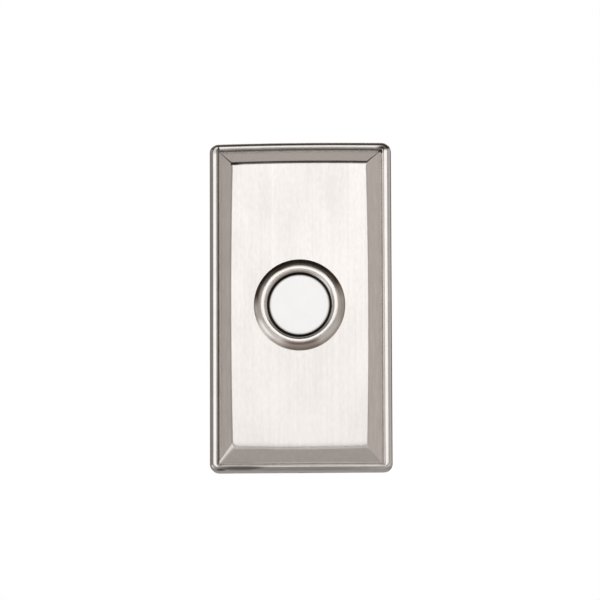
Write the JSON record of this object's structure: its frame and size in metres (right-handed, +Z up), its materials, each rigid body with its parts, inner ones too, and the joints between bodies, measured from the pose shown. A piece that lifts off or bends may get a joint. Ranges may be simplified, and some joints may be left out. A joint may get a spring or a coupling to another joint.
{
  "type": "doorbell push button",
  "caption": "Oblong satin-nickel doorbell plate with bead edge, bevelled sides and raised brushed panel, and a lit round white push button in a metal ring on a barrel for the wall.",
  "frame": {"origin": "on the axis of the button, in the plane of the wall", "axes": "+Z up along the plate, +X to the right seen from the front, +Y into the wall along the barrel"},
  "size_m": [0.0382, 0.0273, 0.0694],
  "materials": {
    "satin_nickel": "forged and turned brass, satin-brushed nickel plate",
    "white_cap": "translucent white moulding",
    "zinc_steel": "zinc-plated pressed steel",
    "dark_steel": "blackened alloy steel",
    "nickel_nut": "bright nickel plate",
    "contact_brass": "spring brass, bare",
    "contact_silver": "riveted silver points",
    "spring_steel": "bright spring wire",
    "black_moulding": "black phenolic moulding",
    "screw_brass": "bright brass",
    "lamp_resin": "clear to milky resin",
    "resistor_enamel": "enamelled body, tinned leads"
  },
  "bodies": {
    "housing": {"face_plate": "satin_nickel", "mounting_plate": "zinc_steel", "grub_screw": "dark_steel", "bezel": "satin_nickel", "lock_washer": "zinc_steel", "lock_nut": "nickel_nut", "switch_base": "black_moulding", "left_contact": "contact_brass", "right_contact": "contact_brass", "contact_points": "contact_silver", "terminal_screws": "screw_brass", "terminal_washers": "screw_brass", "retaining_ring": "spring_steel", "lamp": "lamp_resin", "resistor": "resistor_enamel", "return_spring": "spring_steel"},
    "button": {"push_cap": "white_cap", "contact_bridge": "contact_brass"}
  },
  "joints": [
    {"name": "push", "type": "slide", "parent": "housing", "child": "button", "axis": [0, 1, 0], "range_m": [0, 0.0015], "stiffness_N_per_m": 600, "springref_m": -0.0025, "deforming": ["return_spring"]}
  ]
}
